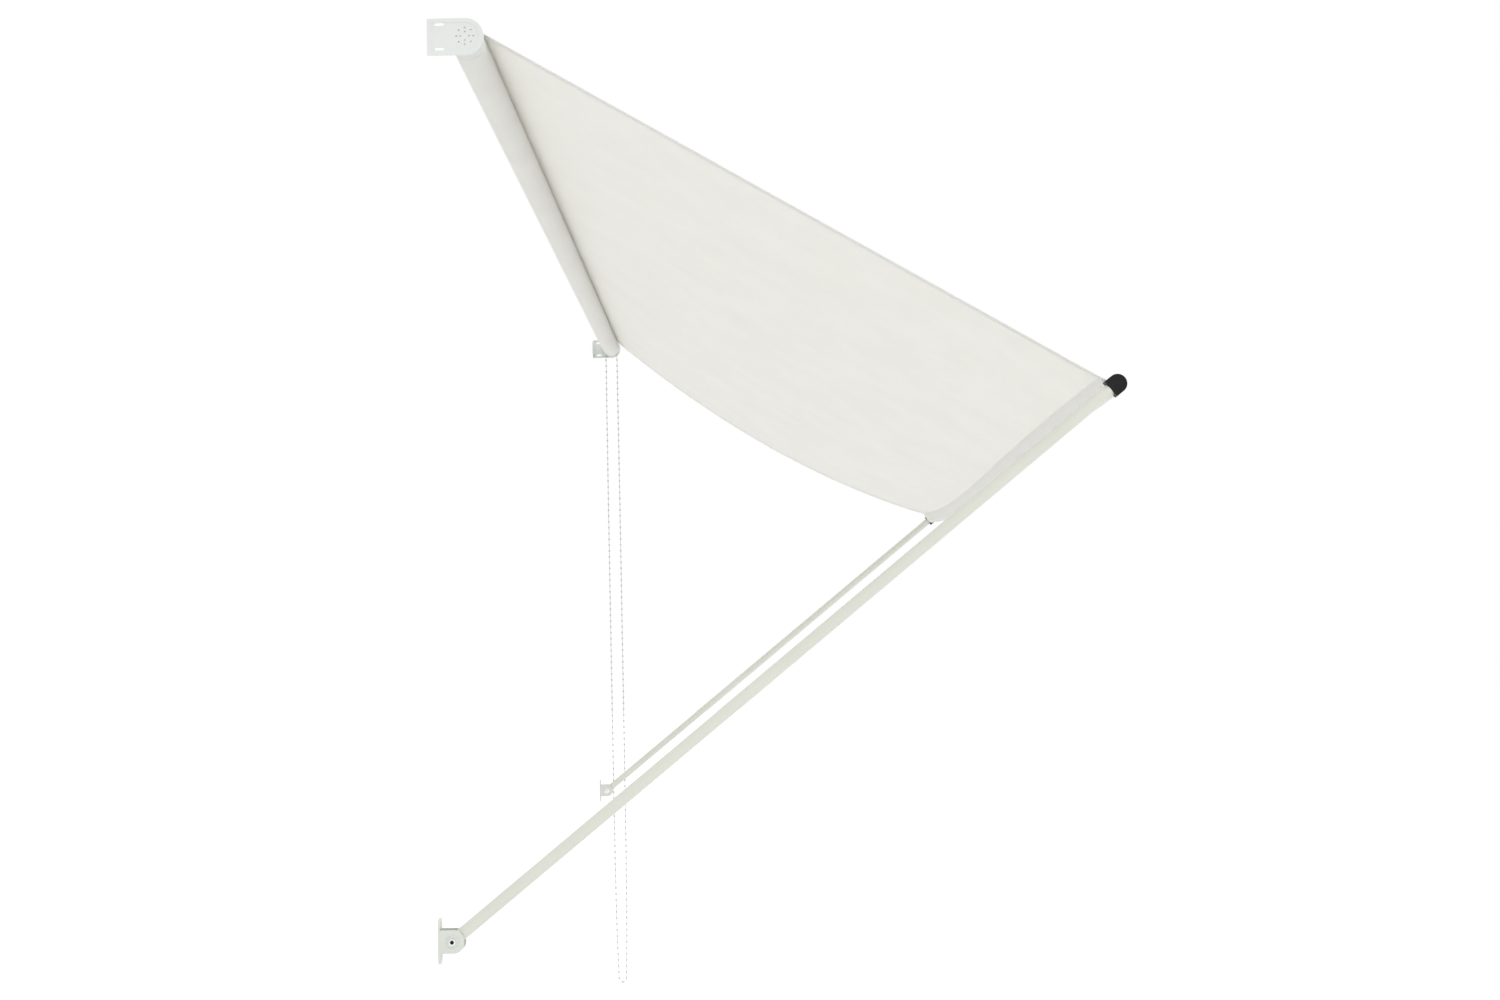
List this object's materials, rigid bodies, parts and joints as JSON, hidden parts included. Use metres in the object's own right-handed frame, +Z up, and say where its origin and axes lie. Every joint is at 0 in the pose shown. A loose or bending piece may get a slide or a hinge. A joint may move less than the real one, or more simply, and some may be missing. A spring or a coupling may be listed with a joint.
{
  "type": "drop-arm roller awning",
  "caption": "Wall-mounted roller awning: cloth slopes from a roller between D-shaped brackets to a front bar carried by straight pivoting arms, worked by a bead chain loop.",
  "frame": {"origin": "on the wall plane, midway between the roller brackets, at the height of the roller's axis", "axes": "+X along the roller towards the chain's end, +Y into the wall, +Z up; the awning reaches out towards -Y"},
  "size_m": [4, 1.4183, 2.662],
  "materials": {
    "white_paint": "satin white powder coat",
    "arm_paint": "satin cream powder coat",
    "white_plastic": "moulded white",
    "black_plastic": "moulded black, semi-gloss",
    "grey_plastic": "moulded grey",
    "bare_metal": "zinc plated",
    "aluminium": "mill finish",
    "dark_metal": "oiled spring steel",
    "cream_cloth": "woven cream canvas",
    "chain_plastic": "moulded pale grey beads"
  },
  "bodies": {
    "wall_parts": {"roller_bracket_left": "white_paint", "roller_bracket_right": "white_paint", "idler_pin": "bare_metal", "idler_ring": "dark_metal", "drive_base": "grey_plastic", "drive_ring": "dark_metal", "chain_guard": "white_plastic", "clutch_spring": "dark_metal", "bead_chain": "chain_plastic", "arm_bracket_left": "white_paint", "arm_bracket_right": "white_paint", "pivot_bolt_left": "bare_metal", "pivot_bolt_right": "bare_metal", "pivot_nut_left": "bare_metal", "pivot_nut_right": "bare_metal", "washer_outer_left": "white_paint", "washer_outer_right": "white_paint", "washer_inner_left": "bare_metal", "washer_inner_right": "bare_metal", "spacer_outer_left": "black_plastic", "spacer_outer_right": "black_plastic", "spacer_inner_left": "black_plastic", "spacer_inner_right": "black_plastic"},
    "roller": {"roller_tube": "aluminium", "idler_plug": "white_plastic", "drive_plug": "white_plastic", "chain_wheel": "white_plastic", "spline_rod": "white_plastic", "cloth_roll": "cream_cloth"},
    "arms": {"arm_tube_left": "arm_paint", "arm_tube_right": "arm_paint", "arm_foot_left": "black_plastic", "arm_foot_right": "black_plastic", "end_cap_left": "black_plastic", "end_cap_right": "black_plastic", "arm_rivet_foot_left": "bare_metal", "arm_rivet_foot_right": "bare_metal", "arm_rivet_top_left": "bare_metal", "arm_rivet_top_right": "bare_metal", "front_bar": "arm_paint", "hem_pocket": "cream_cloth"},
    "sheet": {"cloth_sheet": "cream_cloth"}
  },
  "joints": [
    {"name": "arm_swing", "type": "hinge", "parent": "wall_parts", "child": "arms", "pos_m": [0, -0.029, -1.84], "axis": [-1, 0, 0], "range_deg": [0, 46], "deforming": ["cloth_sheet"]},
    {"name": "roller_turn", "type": "hinge", "parent": "wall_parts", "child": "roller", "pos_m": [0, -0.078, 0], "axis": [-1, 0, 0], "range_deg": [0, 2100]},
    {"name": "sheet_swing", "type": "hinge", "parent": "wall_parts", "child": "sheet", "pos_m": [0, -0.078, 0], "axis": [-1, 0, 0], "range_deg": [0, 23]}
  ],
  "couplings": [
    {"joint": "roller_turn", "follows": "arm_swing", "ratio": 45},
    {"joint": "sheet_swing", "follows": "arm_swing", "ratio": 0.5}
  ]
}
